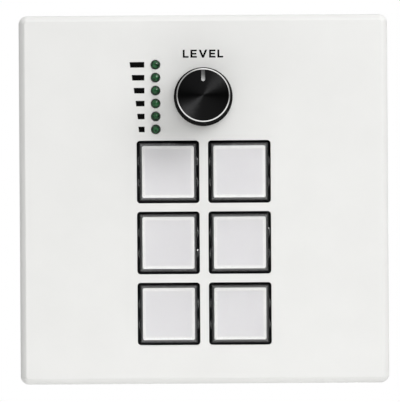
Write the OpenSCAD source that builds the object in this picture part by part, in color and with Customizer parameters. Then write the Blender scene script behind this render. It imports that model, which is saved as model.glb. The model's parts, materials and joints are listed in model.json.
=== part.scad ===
// Wall-mounted control keypad in the square single-gang format.
// Six square push buttons, a turned knob and a column of level lamps stand in a snap-on front plate, over
// a folded steel frame, two stacked boards and a rear housing that goes into the wall box.
// Each piece is drawn in panel space, with X to the right, Y up, Z out of the wall and Z = 0 on the wall,
// and is then stood up, so that the front faces -Y. Sizes are in millimetres.

/* [Front plate] */
// Width of the front plate
plate_w = 86; // [84:0.5:100]
// Height of the front plate
plate_h = 86; // [84:0.5:100]
// Depth from the wall to the front face
plate_depth = 9; // [8:0.1:12]
// Thickness of the front wall
face_t = 2.5; // [1.6:0.1:3]
// Thickness of the side walls
skirt_t = 2; // [1.4:0.1:2.6]
// Radius of the four outer corners
corner_r = 2; // [1.8:0.1:6]
// Width of the rounded front edge, seen from the front
edge_w = 1.45; // [0.6:0.05:1.7]
// Slope at which the rounded edge leaves the front face, in degrees
edge_tilt = 28; // [5:1:40]
// Slope at which the rounded edge meets the side walls, in degrees
edge_side = 78; // [65:1:85]
// Width of the pry notch under the bottom wall
notch_w = 8; // [4:0.5:16]
// Height of the pry notch above the wall
notch_h = 1.2; // [0.6:0.1:1.8]

/* [Wall frame] */
// Thickness of the frame's sheet steel
frame_t = 1.5; // [1:0.1:2]
// Gap between the frame and the plate's side walls
frame_gap = 0.6; // [0.3:0.1:1]
// Inside radius of the folded edges
fold_r = 0.8; // [0.4:0.1:1.2]
// Gap between the folded edges and the back of the front wall
fold_gap = 1.5; // [0.8:0.1:1.8]
// Length left open at each corner, where the folds stop
fold_relief = 6; // [3:0.5:10]
// Gap round the housing in the frame's window
window_gap = 0.5; // [0.2:0.1:0.8]
// Distance between the two wall-box screws
wall_screw_pitch = 60.3; // [60:0.1:61]
// Width of the wall screw slots
wall_slot_w = 4; // [3.6:0.1:4.6]
// Length of the wall screw slots
wall_slot_len = 7; // [5:0.5:8]

/* [Snap hooks] */
// Width of a hook
hook_w = 7; // [4:0.5:12]
// Height of a hook
hook_h = 1.4; // [1:0.1:1.6]
// Height of the hook's square tip
hook_tip = 0.5; // [0.3:0.1:0.8]
// Distance between the two hooks on a side
hook_pitch = 40; // [24:1:50]
// How far a hook goes into its slot in the frame
hook_bite = 0.9; // [0.5:0.1:1.2]
// Clearance round a hook in its slot
hook_gap = 0.25; // [0.15:0.05:0.3]
// Steel left in front of a hook's slot
hook_lip = 0.6; // [0.5:0.1:0.8]

/* [Button field] */
// Distance between the two columns of buttons
button_pitch_x = 16.65; // [16.4:0.05:18]
// Distance between the rows of buttons
button_pitch_y = 16.55; // [16.4:0.05:17]
// Height of the middle row above the plate's middle
button_field_y = -10.1; // [-10.4:0.1:-9.6]
// Distance that a button travels
button_travel = 1.2; // [0.6:0.1:1.6]
// Free space left at the end of the travel
stop_gap = 0.3; // [0.2:0.1:0.5]

/* [Button caps] */
// Width and height of a clear cap
cap_w = 13.4; // [12.6:0.1:13.8]
// Gap between a cap and its opening in the plate
cap_gap = 0.6; // [0.5:0.05:0.7]
// Corner radius of the openings in the plate
opening_r = 0.8; // [0.4:0.1:1.2]
// How far the caps stand proud of the plate
cap_proud = 0.5; // [0.2:0.1:1.5]
// Thickness of a cap's front
cap_t = 0.9; // [0.7:0.1:1.2]
// Thickness of a cap's walls
cap_wall = 0.75; // [0.5:0.05:0.9]
// Width of the bevel round a cap's front
bevel_w = 1.1; // [0.4:0.1:1.4]
// Depth of the bevel round a cap's front
bevel_d = 0.55; // [0.3:0.05:0.8]
// Distance between the two pips on a cap's side
pip_pitch = 4.9; // [3:0.1:7]
// Length of a pip along the cap's side
pip_w = 2.3; // [1.2:0.1:2.8]
// How far a pip stands out from the cap's side
pip_reach = 0.4; // [0.2:0.05:0.4]
// Depth of a pip, front to back
pip_d = 1.6; // [0.8:0.1:2]
// How far the pips lie behind the plate's face
pip_sink = 0.2; // [0.1:0.1:1.6]
// Slope of a pip's front, in degrees
pip_tilt = 27; // [15:1:45]

/* [Labels and carriers] */
// Gap between the label or carrier and the cap
label_gap = 0.1; // [0.05:0.05:0.2]
// Thickness of a label
label_t = 0.5; // [0.3:0.1:0.8]
// Width of the label's raised rim
label_rim_w = 0.5; // [0.3:0.1:0.8]
// Height of the label's raised rim
label_rim_h = 0.1; // [0.1:0.05:0.4]
// Thickness of a carrier's front and walls
carrier_t = 1; // [0.8:0.1:1.2]
// How far a carrier's flange reaches past the cap
flange_lap = 0.8; // [0.7:0.1:0.9]
// Thickness of a carrier's flange
flange_t = 0.8; // [0.6:0.1:1]
// Gap between the plate's front wall and the flange at rest
flange_drop = 1.6; // [1:0.1:1.8]
// Width of a carrier's square stem
stem_w = 5; // [4.6:0.1:5.6]
// Clearance round the stem in its guide
stem_gap = 0.1; // [0.05:0.05:0.15]

/* [Switches] */
// Width of a switch body
switch_w = 12; // [11:0.1:13]
// Thickness of the switch body's floor
switch_floor = 0.5; // [0.4:0.1:0.8]
// Width of the guide collar on a switch body
collar_w = 7.6; // [7.2:0.1:9]
// Height of the guide collar
collar_h = 1.4; // [0.6:0.1:1.6]
// Radius of a return spring, at the middle of its wire
spring_r = 1.3; // [1:0.05:1.4]
// Diameter of the return spring's wire
spring_wire = 0.3; // [0.2:0.05:0.35]
// Turns in a return spring
spring_turns = 4; // [3:0.5:5]
// Depth of the spring's pocket in the stem
spring_pocket = 2.4; // [1.5:0.1:3]
// Clearance round the spring in its pocket
spring_gap = 0.15; // [0.1:0.05:0.3]

/* [Knob] */
// Height of the knob's axis above the plate's middle
knob_y = 23.9; // [23.6:0.1:24.4]
// Diameter of the knob at its base
knob_base_d = 13.7; // [13:0.1:15]
// Diameter of the knob at its front
knob_front_d = 12.3; // [12:0.1:13.6]
// Height of the knob
knob_h = 12; // [10:0.1:18]
// Gap between the knob and the plate
knob_gap = 0.6; // [0.4:0.1:1]
// Width of the polished ring round the knob's front
ring_w = 0.26; // [0.2:0.02:0.8]
// Depth of the polished ring
ring_d = 0.25; // [0.2:0.05:0.8]
// Width of the pointer groove
pointer_w = 0.9; // [0.6:0.05:1.4]
// Length of the pointer groove
pointer_len = 2.7; // [2:0.1:4.5]
// Depth of the pointer groove
pointer_d = 0.45; // [0.2:0.05:0.8]
// Height of the turned line above the knob's base
line_z = 1.3; // [0.8:0.1:3]
// Width of the turned line
line_w = 0.3; // [0.2:0.05:0.5]
// Depth of the turned line
line_d = 0.2; // [0.1:0.05:0.3]
// Thickness of the knob's front wall
knob_front_t = 2.4; // [1.6:0.1:3]
// Radius of the knob's insert
insert_r = 4.7; // [4.4:0.1:5.2]
// Clearance between pieces pressed together
press_gap = 0.02; // [0.01:0.01:0.04]
// Gap between the insert or shaft and the bottom of its hole
end_gap = 0.4; // [0.2:0.1:0.8]

/* [Encoder] */
// Width of the encoder
encoder_w = 12.4; // [11.4:0.1:13]
// Height of the encoder, along the plate
encoder_h = 12.4; // [11.4:0.1:13]
// Gap between the encoder's metal top and the plate's front wall
encoder_drop = 1.4; // [1:0.1:2]
// Thickness of the encoder's metal top
encoder_top_t = 1.2; // [0.8:0.1:1.6]
// Radius of the bushing
bush_r = 3.75; // [3.7:0.05:4]
// How far the bushing stays behind the plate's face
bush_sink = 0.4; // [0.2:0.1:0.8]
// Gap round the bushing in the plate
bush_gap = 0.3; // [0.2:0.1:0.6]
// Radius of the shaft
shaft_r = 3; // [2.8:0.05:3.1]
// Running clearance round the shaft in the bushing
shaft_gap = 0.04; // [0.02:0.01:0.08]
// Distance from the shaft's axis to its flat
shaft_flat = 1.5; // [1.2:0.1:2]
// Radius of the disc on the shaft, inside the encoder
disc_r = 4.2; // [3.9:0.1:4.8]
// Gap round the disc
disc_gap = 0.2; // [0.15:0.05:0.3]
// Thickness of the encoder body's floor
encoder_floor = 1.2; // [0.8:0.1:1.6]
// Thickness of the two lugs that hold the metal top
lug_t = 0.5; // [0.3:0.1:0.8]
// Width of the lugs
lug_w = 3; // [2:0.1:5]

/* [Level lamps] */
// Distance of the lamps to the left of the knob's axis
lamp_x = 11.1; // [10.6:0.1:13]
// Distance between the lamps
lamp_pitch = 3.01; // [2.95:0.01:3.1]
// Radius of a lamp's lens
lamp_r = 1.1; // [0.9:0.05:1.25]
// Gap round a lens in the plate
lamp_gap = 0.05; // [0.05:0.01:0.12]
// How far a lens stands proud of the plate
lamp_proud = 0.9; // [0.5:0.1:1.2]
// Radius of a lamp's flange
lamp_flange_r = 1.4; // [1.3:0.02:1.44]
// Thickness of a lamp's flange
lamp_flange_t = 0.6; // [0.4:0.1:0.8]
// Gap between the flange and the plate's front wall
lamp_drop = 0.9; // [0.5:0.1:1.2]
// Distance between a lamp's two leads
lead_pitch = 1.27; // [1.2:0.01:1.5]
// Width of a lead
lead_w = 0.45; // [0.4:0.05:0.5]
// Gap round a lead in its hole
lead_gap = 0.12; // [0.08:0.02:0.16]
// How far the leads stick out behind the board
lead_tail = 1; // [0.5:0.1:1.5]
// Width of the lamp holder
holder_w = 3.2; // [3:0.1:3.6]
// Length of the holder past the outer lamps
holder_end = 1.6; // [1.5:0.05:1.65]

/* [Boards] */
// Width of the boards
board_w = 46; // [44:0.5:47]
// Height of the boards
board_h = 66.6; // [66.6:0.1:67]
// Thickness of the boards
board_t = 1.6; // [1.2:0.1:2]
// Corner radius of the boards
board_r = 1; // [0.5:0.1:2]
// Depth of the button board's front behind the wall's surface
board_set = 2.4; // [2:0.1:4]
// Length of the spacers between the boards
spacer_len = 8; // [7:0.5:12]
// Radius of the spacers
spacer_r = 2.4; // [2.1:0.1:2.8]
// Distance between the board screws, across
board_screw_x = 39; // [37.5:0.5:40]
// Distance between the board screws, up
board_screw_y = 59; // [57:0.5:60]
// Radius of the board screws
board_screw_r = 1.25; // [1:0.05:1.4]
// Radius of the board screws' heads
board_head_r = 2.2; // [1.9:0.1:2.4]
// Height of the board screws' heads
board_head_h = 1.6; // [1.2:0.1:1.8]
// How far the board screws go into the housing's posts
board_screw_bite = 5; // [3:0.5:6]
// Clearance round screws in their holes
screw_gap = 0.1; // [0.05:0.05:0.15]
// Width of the controller chip
chip_w = 10; // [6:0.5:14]
// Thickness of the controller chip
chip_t = 1.4; // [1:0.1:2]
// Height of the controller chip's middle above the plate's middle
chip_y = 8; // [0:1:14]

/* [Board link] */
// Contacts in each of the link's two rows
link_pins = 5; // [3:1:8]
// Distance between the link's contacts
link_pitch = 2.54; // [2.5:0.02:2.6]
// Height of the link header's base
link_base_h = 2.5; // [1.5:0.1:3]
// Width of a contact pin
link_pin_w = 0.64; // [0.5:0.02:0.7]
// Clearance round a pin in the socket
link_pin_gap = 0.1; // [0.05:0.05:0.2]
// Length of the pins inside the socket
link_pin_len = 3.5; // [2.5:0.1:4]
// Gap between the link's header and its socket
link_gap = 0.2; // [0.1:0.1:0.4]
// Height of the link above the plate's middle
link_y = -27; // [-28:0.5:-24]

/* [Housing] */
// Gap between the boards and the housing's walls
board_gap = 0.4; // [0.2:0.1:0.6]
// Thickness of the housing's walls and floor
house_wall = 1.5; // [1.2:0.1:1.8]
// Radius of the housing's upright corners
house_r = 2.5; // [2:0.1:4]
// How far the housing's rim stands in front of the frame
house_lip = 0.3; // [0.2:0.1:0.5]
// Length of the posts that carry the boards
post_len = 7.4; // [7:0.1:10]
// Radius of the posts
post_r = 2.6; // [2.4:0.1:2.9]
// Distance between the ears' screws, across
ear_screw_x = 60.3; // [58:0.1:64]
// Distance between the ears' screws, up
ear_screw_y = 52; // [40:1:54]
// Thickness of the ears
ear_t = 1.8; // [1.5:0.1:2]
// Radius of the ears' round ends
ear_r = 4.5; // [4:0.1:5]
// Radius of the ears' screws
ear_screw_r = 1.45; // [1.2:0.05:1.6]
// Radius of the ears' screw heads
ear_head_r = 2.7; // [2.4:0.1:3]
// Height of the ears' screw heads
ear_head_h = 1.6; // [1.2:0.1:1.8]

/* [Terminals] */
// Distance between the terminals' contacts
term_pitch = 3.81; // [3.5:0.01:4]
// Gap between the two terminal sockets
term_space = 3; // [2:0.5:5]
// Height of the terminals above the plate's middle
term_y = -16; // [-20:1:-8]
// Wall thickness of the sockets
term_wall = 0.8; // [0.6:0.1:1]
// Fit of a plug in its socket
term_fit = 0.12; // [0.08:0.02:0.2]
// Thickness of a socket's floor
term_floor = 1.2; // [1:0.1:1.6]
// Length of a socket
socket_len = 8.6; // [8:0.1:9]
// Width of a contact pin
term_pin_w = 1; // [0.8:0.05:1.1]
// How far a contact pin stays inside its socket's mouth
term_pin_in = 1; // [0.5:0.1:2]
// Clearance round a contact pin in the plug
term_pin_gap = 0.12; // [0.08:0.02:0.2]
// Height of a plug's nose
nose_h = 5.4; // [5:0.1:6]
// Height of a plug's body
plug_h = 10; // [9:0.1:12]
// Length of a plug's body outside its socket
plug_len = 8.4; // [7.5:0.1:10]
// Radius of the wire holes
wire_r = 1.2; // [1:0.05:1.3]
// Radius of the terminal screws
term_screw_r = 1.3; // [1.1:0.05:1.4]
// Length of the terminal screws
term_screw_len = 3; // [2.5:0.1:3.4]
// Depth of the terminal screws below the plug's top
term_screw_sink = 0.5; // [0.3:0.1:0.8]
// Width of the slot in the screws
screw_slot_w = 0.5; // [0.3:0.05:0.7]
// Depth of the slot in the screws
screw_slot_d = 0.6; // [0.4:0.1:0.8]

/* [Hidden] */
$fn = 48;
// How far a cut runs past the surface that it opens
past = 1;
// How far a joined shape runs into the piece that carries it
root = 0.4;

// Counts of what repeats
button_columns = 2;
button_rows = 3;
button_ids = [1:button_columns * button_rows];
lamp_count = 6;
lamp_ids = [1:lamp_count];
term_ways = [2, 4];

// Rings in each turn of a return spring, and sides of its wire
coil_rings = 8;
coil_sides = 6;

// Levels of the plate and the frame
face_z = plate_depth;
face_back = plate_depth - face_t;
edge_r = edge_w / (sin(edge_side) - sin(edge_tilt));
frame_w = plate_w - 2 * (skirt_t + frame_gap);
frame_h = plate_h - 2 * (skirt_t + frame_gap);
fold_out = fold_r + frame_t;
fold_h = face_back - fold_gap;
hook_top = fold_h - hook_lip - hook_gap;

// Levels of a button, front to back
cap_front = face_z + cap_proud;
cap_ceiling = cap_front - cap_t;
label_front = cap_ceiling - label_gap;
label_back = label_front - label_rim_h - label_t;
flange_top = face_back - flange_drop;
flange_back = flange_top - flange_t;
switch_top = flange_back - button_travel - stop_gap;
board_front = -board_set;
guide_floor = board_front + switch_floor;
stem_end = guide_floor + button_travel + stop_gap;
spring_top = stem_end + spring_pocket;

// Widths of a button
opening_w = cap_w + 2 * cap_gap;
label_w = cap_w - 2 * (cap_wall + label_gap);
flange_w = cap_w + 2 * flange_lap;
pip_r = (pow(pip_w / 2, 2) + pow(pip_reach, 2)) / (2 * pip_reach);
pip_slope_w = pip_reach + min(root, (pip_r - pip_reach) / 2);

// Levels of the knob and the encoder
knob_back = face_z + knob_gap;
knob_front = knob_back + knob_h;
knob_face_r = knob_front_d / 2 - ring_w;
function knob_r(z) = (knob_base_d - (knob_base_d - knob_front_d) * z / (knob_h - ring_d)) / 2;
insert_top = knob_front - knob_front_t - end_gap;
shaft_top = insert_top - end_gap;
encoder_front = face_back - encoder_drop;
encoder_body_front = encoder_front - encoder_top_t;
bush_front = face_z - bush_sink;
disc_front = encoder_body_front - disc_gap;
disc_back = board_front + encoder_floor + disc_gap;

// Levels of a lamp
lamp_tip = face_z + lamp_proud;
lamp_flange_front = face_back - lamp_drop;
lamp_seat = lamp_flange_front - lamp_flange_t;

// Levels of the boards and the housing
board_back = board_front - board_t;
main_front = board_back - spacer_len;
main_back = main_front - board_t;
post_back = main_back - post_len;
house_back = post_back - house_wall;
house_w = board_w + 2 * (board_gap + house_wall);
house_h = board_h + 2 * (board_gap + house_wall);
house_front = frame_t + house_lip;
ear_front = frame_t + ear_t;
window_w = house_w + 2 * window_gap;
window_h = house_h + 2 * window_gap;
board_hole_r = board_screw_r + screw_gap;
board_screw_end = main_back - board_screw_bite;
link_w = link_pins * link_pitch;
link_h = 2 * link_pitch;

// Widths and places of the terminals
socket_h = nose_h + 2 * (term_fit + term_wall);
socket_back = main_back - socket_len;
plug_front = min(socket_back, house_back) - term_fit;
plug_back = plug_front - plug_len;
function plug_w(n) = term_ways[n] * term_pitch;
function socket_w(n) = plug_w(n) + 2 * (term_fit + term_wall);
term_total = socket_w(0) + term_space + socket_w(1);
function term_x(n) = n == 0 ? (socket_w(0) - term_total) / 2 : (term_total - socket_w(1)) / 2;
function way_x(n, way) = (way - (term_ways[n] - 1) / 2) * term_pitch;

// Stands a piece up from panel space
module upright() {
    rotate([90, 0, 0]) children();
}

// Block centred on the Z axis, between two levels
module block(w, h, z0, z1) {
    translate([-w / 2, -h / 2, z0]) cube([w, h, z1 - z0]);
}

// Round bar on the Z axis, between two levels
module rod(r, z0, z1) {
    translate([0, 0, z0]) cylinder(r = r, h = z1 - z0);
}

// Rectangle with round corners
module rounded_square(w, h, r) {
    square([w - 2 * r, h], center = true);
    square([w, h - 2 * r], center = true);
    for (x = [-1, 1], y = [-1, 1])
        translate([x * (w / 2 - r), y * (h / 2 - r)]) circle(r);
}

// Block with round upright corners, between two levels
module rounded_block(w, h, r, z0, z1) {
    translate([0, 0, z0]) linear_extrude(z1 - z0) rounded_square(w, h, r);
}

// Straight slot with round ends along X, between two levels
module slot(len, w, z0, z1) {
    block(len - w, w, z0, z1);
    for (s = [-1, 1]) translate([s * (len - w) / 2, 0, 0]) rod(w / 2, z0, z1);
}

// Section extruded along Y: its X stays X, and its Y becomes the level
module along_y(len) {
    rotate([90, 0, 0]) linear_extrude(len, center = true) children();
}

// Places at the four corners of a rectangle
module at_corners(w, h) {
    for (x = [-1, 1], y = [-1, 1]) translate([x * w / 2, y * h / 2, 0]) children();
}

// Places on the four sides of a rectangle, with X pointing outwards
module at_sides(w, h) {
    for (side = [0:3])
        rotate([0, 0, 90 * side]) translate([(side % 2 == 0 ? w : h) / 2, 0, 0]) children();
}

// Places of the buttons, row by row from the top left
module at_button(i) {
    column = (i - 1) % button_columns - (button_columns - 1) / 2;
    row = (button_rows - 1) / 2 - floor((i - 1) / button_columns);
    translate([column * button_pitch_x, button_field_y + row * button_pitch_y, 0]) children();
}

// Places of the lamps, from the top
module at_lamp(i) {
    translate([-lamp_x, knob_y + ((lamp_count + 1) / 2 - i) * lamp_pitch, 0]) children();
}

module at_knob() {
    translate([0, knob_y, 0]) children();
}

module at_board_screws() {
    at_corners(board_screw_x, board_screw_y) children();
}

module at_ears() {
    at_corners(ear_screw_x, ear_screw_y) children();
}

// Places of a lamp's two leads
module at_leads() {
    for (s = [-1, 1]) translate([s * lead_pitch / 2, 0, 0]) children();
}

// Places of the link's contacts
module at_link_pins() {
    for (column = [0:link_pins - 1], row = [0:1])
        translate([(column - (link_pins - 1) / 2) * link_pitch, link_y + (row - 0.5) * link_pitch, 0])
            children();
}

// Place of one terminal block
module at_terminal(n) {
    translate([term_x(n), term_y, 0]) children();
}

// Places of one terminal block's contacts
module at_ways(n) {
    for (way = [0:term_ways[n] - 1]) translate([way_x(n, way), 0, 0]) children();
}

// Places of the snap hooks, with X pointing outwards from the plate's side
module at_hooks() {
    at_sides(plate_w, plate_h)
        for (s = [-1, 1]) translate([0, s * hook_pitch / 2, 0]) children();
}

// Edge of the plate: X runs outwards from a corner's axis, Y from the wall to the face
module edge_section() {
    arc_x = corner_r - edge_r * sin(edge_side);
    arc_y = plate_depth - edge_r * cos(edge_tilt);
    square([corner_r, arc_y]);
    square([max(arc_x, (corner_r - edge_w) / 2), plate_depth]);
    intersection() {
        square([corner_r, plate_depth]);
        translate([arc_x, arc_y]) circle(edge_r);
    }
}

// Solid plate: four revolved corners, four straight edges and the middle
module plate_body() {
    inner_w = plate_w - 2 * corner_r;
    inner_h = plate_h - 2 * corner_r;
    block(inner_w, inner_h, 0, plate_depth);
    for (side = [0:3]) {
        across = side % 2 == 0 ? inner_w : inner_h;
        along = side % 2 == 0 ? inner_h : inner_w;
        rotate([0, 0, 90 * side]) translate([across / 2, 0, 0]) {
            along_y(along) edge_section();
            translate([0, along / 2, 0]) rotate_extrude(angle = 90) edge_section();
        }
    }
}

// Snap hook: a ramp towards the wall and a square front face
module hook() {
    wall = -skirt_t;
    tip = wall - frame_gap - hook_bite;
    along_y(hook_w) polygon([
        [wall + root, hook_top - hook_h],
        [wall + root, hook_top],
        [tip, hook_top],
        [tip, hook_top - hook_tip],
        [wall, hook_top - hook_h]
    ]);
}

module front_plate() color("#f1f1ee") upright() {
    difference() {
        plate_body();
        block(plate_w - 2 * skirt_t, plate_h - 2 * skirt_t, -past, face_back);
        for (i = button_ids)
            at_button(i) rounded_block(opening_w, opening_w, opening_r, face_back - past, face_z + past);
        for (i = lamp_ids) at_lamp(i) rod(lamp_r + lamp_gap, face_back - past, face_z + past);
        at_knob() rod(bush_r + bush_gap, face_back - past, face_z + past);
        translate([0, -plate_h / 2, 0]) block(notch_w, 2 * (skirt_t + past), -past, notch_h);
    }
    at_hooks() hook();
}

// Folded edge of the frame: X ends at the fold's outer face, Y runs away from the wall
module fold_section() {
    translate([-fold_out, fold_out]) intersection() {
        difference() {
            circle(fold_out);
            circle(fold_r);
        }
        translate([0, -fold_out]) square(fold_out);
    }
    translate([-frame_t, fold_out]) square([frame_t, fold_h - fold_out]);
}

module wall_frame() color("#b9bdc1") upright() difference() {
    union() {
        block(frame_w - 2 * fold_out, frame_h - 2 * fold_out, 0, frame_t);
        for (side = [0:3]) {
            across = side % 2 == 0 ? frame_w : frame_h;
            along = side % 2 == 0 ? frame_h : frame_w;
            rotate([0, 0, 90 * side]) translate([across / 2, 0, 0])
                along_y(along - 2 * fold_relief) fold_section();
        }
    }
    rounded_block(window_w, window_h, house_r + window_gap, -past, frame_t + past);
    for (s = [-1, 1])
        translate([s * wall_screw_pitch / 2, 0, 0]) slot(wall_slot_len, wall_slot_w, -past, frame_t + past);
    at_ears() rod(ear_screw_r + screw_gap, -past, frame_t + past);
    hook_back = hook_top - hook_h - hook_gap;
    at_hooks() translate([-skirt_t - frame_gap, 0, 0])
        block(2 * (frame_t + fold_r), hook_w + 2 * hook_gap, hook_back, hook_top + hook_gap);
}

// Ears that carry the housing on the frame, each from the housing's wall to a round end
module ears() {
    wall_x = house_w / 2 - house_wall;
    for (x = [-1, 1], y = [-1, 1]) {
        translate([x * (wall_x + ear_screw_x / 2) / 2, y * ear_screw_y / 2, 0])
            block(ear_screw_x / 2 - wall_x, 2 * ear_r, frame_t, ear_front);
    }
    at_ears() rod(ear_r, frame_t, ear_front);
}

module rear_housing() color("#26272a") upright() {
    inner_w = house_w - 2 * house_wall;
    inner_h = house_h - 2 * house_wall;
    difference() {
        union() {
            rounded_block(house_w, house_h, house_r, house_back, house_front);
            ears();
        }
        rounded_block(inner_w, inner_h, house_r - house_wall, post_back, ear_front + past);
        at_ears() rod(ear_screw_r + screw_gap, frame_t - past, ear_front + past);
        for (n = [0, 1])
            at_terminal(n) block(
                socket_w(n) + 2 * board_gap, socket_h + 2 * board_gap, house_back - past, post_back + past
            );
    }
    at_board_screws() difference() {
        rod(post_r, post_back - root, main_back);
        rod(board_hole_r, board_screw_end - stop_gap, main_back + past);
    }
}

// The frame's screws end flush with the wall side of the frame
module frame_screws() color("#9a9da0") upright() at_ears() {
    rod(ear_screw_r, 0, ear_front);
    rod(ear_head_r, ear_front, ear_front + ear_head_h);
}

module button_board() color("#1e5b38") upright() difference() {
    rounded_block(board_w, board_h, board_r, board_back, board_front);
    at_board_screws() rod(board_hole_r, board_back - past, board_front + past);
    for (i = lamp_ids)
        at_lamp(i) at_leads() rod(lead_w * sqrt(0.5) + lead_gap, board_back - past, board_front + past);
}

module main_board() color("#1e5b38") upright() difference() {
    rounded_block(board_w, board_h, board_r, main_back, main_front);
    at_board_screws() rod(board_hole_r, main_back - past, main_front + past);
}

module board_spacers() color("#c9b06a") upright() at_board_screws() difference() {
    rod(spacer_r, main_front, board_back);
    rod(board_hole_r, main_front - past, board_back + past);
}

module board_screws() color("#9a9da0") upright() at_board_screws() {
    rod(board_screw_r, board_screw_end, board_front);
    rod(board_head_r, board_front, board_front + board_head_h);
}

module link_header() color("#202124") upright() {
    base_back = board_back - link_base_h;
    translate([0, link_y, 0]) block(link_w, link_h, base_back, board_back);
    at_link_pins()
        block(link_pin_w, link_pin_w, base_back - link_gap - link_pin_len, base_back + root);
}

module link_socket() color("#202124") upright() difference() {
    socket_front = board_back - link_base_h - link_gap;
    hole_w = link_pin_w + 2 * link_pin_gap;
    translate([0, link_y, 0]) block(link_w, link_h, main_front, socket_front);
    at_link_pins()
        block(hole_w, hole_w, socket_front - link_pin_len - link_gap, socket_front + past);
}

module controller_chip() color("#2b2c2e") upright() translate([0, chip_y, 0])
    block(chip_w, chip_w, main_front, main_front + chip_t);

// Socket behind the main board, open to the back, with one contact pin for each way
module terminal_socket(n) color("#2f7d46") upright() at_terminal(n) {
    cavity_front = main_back - term_floor;
    difference() {
        block(socket_w(n), socket_h, socket_back, main_back);
        block(plug_w(n) + 2 * term_fit, nose_h + 2 * term_fit, socket_back - past, cavity_front);
    }
    at_ways(n) block(term_pin_w, term_pin_w, socket_back + term_pin_in, cavity_front + root);
}

// Plug with a nose in the socket, wire holes at the back and screws from above
module terminal_plug(n) color("#2f7d46") upright() at_terminal(n) difference() {
    pin_hole = term_pin_w + 2 * term_pin_gap;
    nose_front = main_back - term_floor - term_fit;
    union() {
        block(plug_w(n), nose_h, plug_front - root, nose_front);
        block(plug_w(n), plug_h, plug_back, plug_front);
    }
    at_ways(n) {
        block(pin_hole, pin_hole, socket_back + term_pin_in - term_fit, nose_front + past);
        rod(wire_r, plug_back - past, plug_back + plug_len / 2);
        translate([0, plug_h / 2, plug_back + plug_len / 2]) rotate([90, 0, 0])
            rod(term_screw_r + screw_gap, -past, term_screw_sink + term_screw_len);
    }
}

module terminal_screws() color("#b9bdc1") upright()
    for (n = [0, 1])
        at_terminal(n) at_ways(n)
            translate([0, plug_h / 2 - term_screw_sink, plug_back + plug_len / 2]) rotate([90, 0, 0])
                difference() {
                    rod(term_screw_r, 0, term_screw_len);
                    block(screw_slot_w, 2 * (term_screw_r + past), -past, screw_slot_d);
                }

// Turned profile of the knob: X is the radius, Y the level
module knob_section() {
    bore_r = insert_r + press_gap;
    polygon([
        [bore_r, knob_back],
        [knob_base_d / 2, knob_back],
        [knob_front_d / 2, knob_front - ring_d],
        [knob_face_r, knob_front],
        [0, knob_front],
        [0, knob_front - knob_front_t],
        [bore_r, knob_front - knob_front_t]
    ]);
}

// Pointer groove in the knob's face, from the polished ring inwards, with a round inner end
module pointer_groove() {
    floor_z = knob_front - pointer_d;
    inner_y = knob_face_r - pointer_len + pointer_w / 2;
    translate([0, inner_y, 0]) rod(pointer_w / 2, floor_z, knob_front + past);
    translate([-pointer_w / 2, inner_y, floor_z])
        cube([pointer_w, knob_face_r - inner_y, pointer_d + past]);
}

module knob() color("#17181a") upright() at_knob() difference() {
    rotate_extrude() knob_section();
    pointer_groove();
    rotate_extrude() translate([knob_r(line_z) - line_d, knob_back + line_z]) square([line_d + past, line_w]);
}

// Shaft end with its flat towards the pointer, between two levels, for a given clearance
module flatted_rod(clearance, z0, z1) {
    intersection() {
        rod(shaft_r + clearance, z0, z1);
        translate([0, shaft_flat + clearance - shaft_r - past, 0])
            block(2 * (shaft_r + past), 2 * (shaft_r + past), z0, z1);
    }
}

module knob_insert() color("#c8c4b8") upright() at_knob() difference() {
    rod(insert_r, knob_back, insert_top);
    flatted_rod(press_gap, knob_back - past, insert_top + past);
}

module encoder_shaft() color("#c4c7ca") upright() at_knob() {
    rod(disc_r, disc_back, disc_front);
    rod(shaft_r, disc_front - root, knob_back - end_gap);
    flatted_rod(0, knob_back - end_gap - root, shaft_top);
}

// Metal top of the encoder, with its neck and two lugs that reach down to the board
module encoder_bushing() color("#aeb2b6") upright() at_knob() {
    difference() {
        union() {
            block(encoder_w, encoder_h, encoder_body_front, encoder_front);
            rod(bush_r, encoder_front - root, bush_front);
        }
        rod(shaft_r + shaft_gap, encoder_body_front - past, bush_front + past);
    }
    for (s = [-1, 1])
        translate([s * (encoder_w + lug_t) / 2, 0, 0]) {
            block(lug_t, lug_w, board_front, encoder_front);
            translate([-s * lug_t / 2, 0, 0]) block(lug_t, lug_w, encoder_body_front, encoder_front);
        }
}

module encoder_body() color("#3a3c3f") upright() at_knob() difference() {
    block(encoder_w, encoder_h, board_front, encoder_body_front);
    rod(disc_r + disc_gap, board_front + encoder_floor, encoder_body_front + past);
}

module lamp_holder() color("#202124") upright() difference() {
    length = (lamp_count - 1) * lamp_pitch + 2 * holder_end;
    hole_w = lead_w + 2 * lead_gap;
    translate([-lamp_x, knob_y, 0]) block(holder_w, length, board_front, lamp_seat);
    for (i = lamp_ids) at_lamp(i) at_leads() block(hole_w, hole_w, board_front - past, lamp_seat + past);
}

// Lens with a domed tip, a flange that seats on the holder, and two leads through the board
module level_lamp(i) color("#1f5a33") upright() at_lamp(i) {
    dome_z = lamp_tip - lamp_r;
    rotate_extrude() {
        translate([0, lamp_seat]) square([lamp_flange_r, lamp_flange_t]);
        translate([0, lamp_seat]) square([lamp_r, dome_z - lamp_seat]);
        intersection() {
            translate([0, dome_z]) circle(lamp_r);
            translate([0, lamp_seat]) square([lamp_r, lamp_tip - lamp_seat]);
        }
    }
    at_leads() block(lead_w, lead_w, board_back - lead_tail, lamp_seat + root);
}

// Front and sides of a cap seen from one side: the bevel runs round the front
module cap_section() {
    polygon([
        [-cap_w / 2, flange_top],
        [cap_w / 2, flange_top],
        [cap_w / 2, cap_front - bevel_d],
        [cap_w / 2 - bevel_w, cap_front],
        [bevel_w - cap_w / 2, cap_front],
        [-cap_w / 2, cap_front - bevel_d]
    ]);
}

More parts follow.
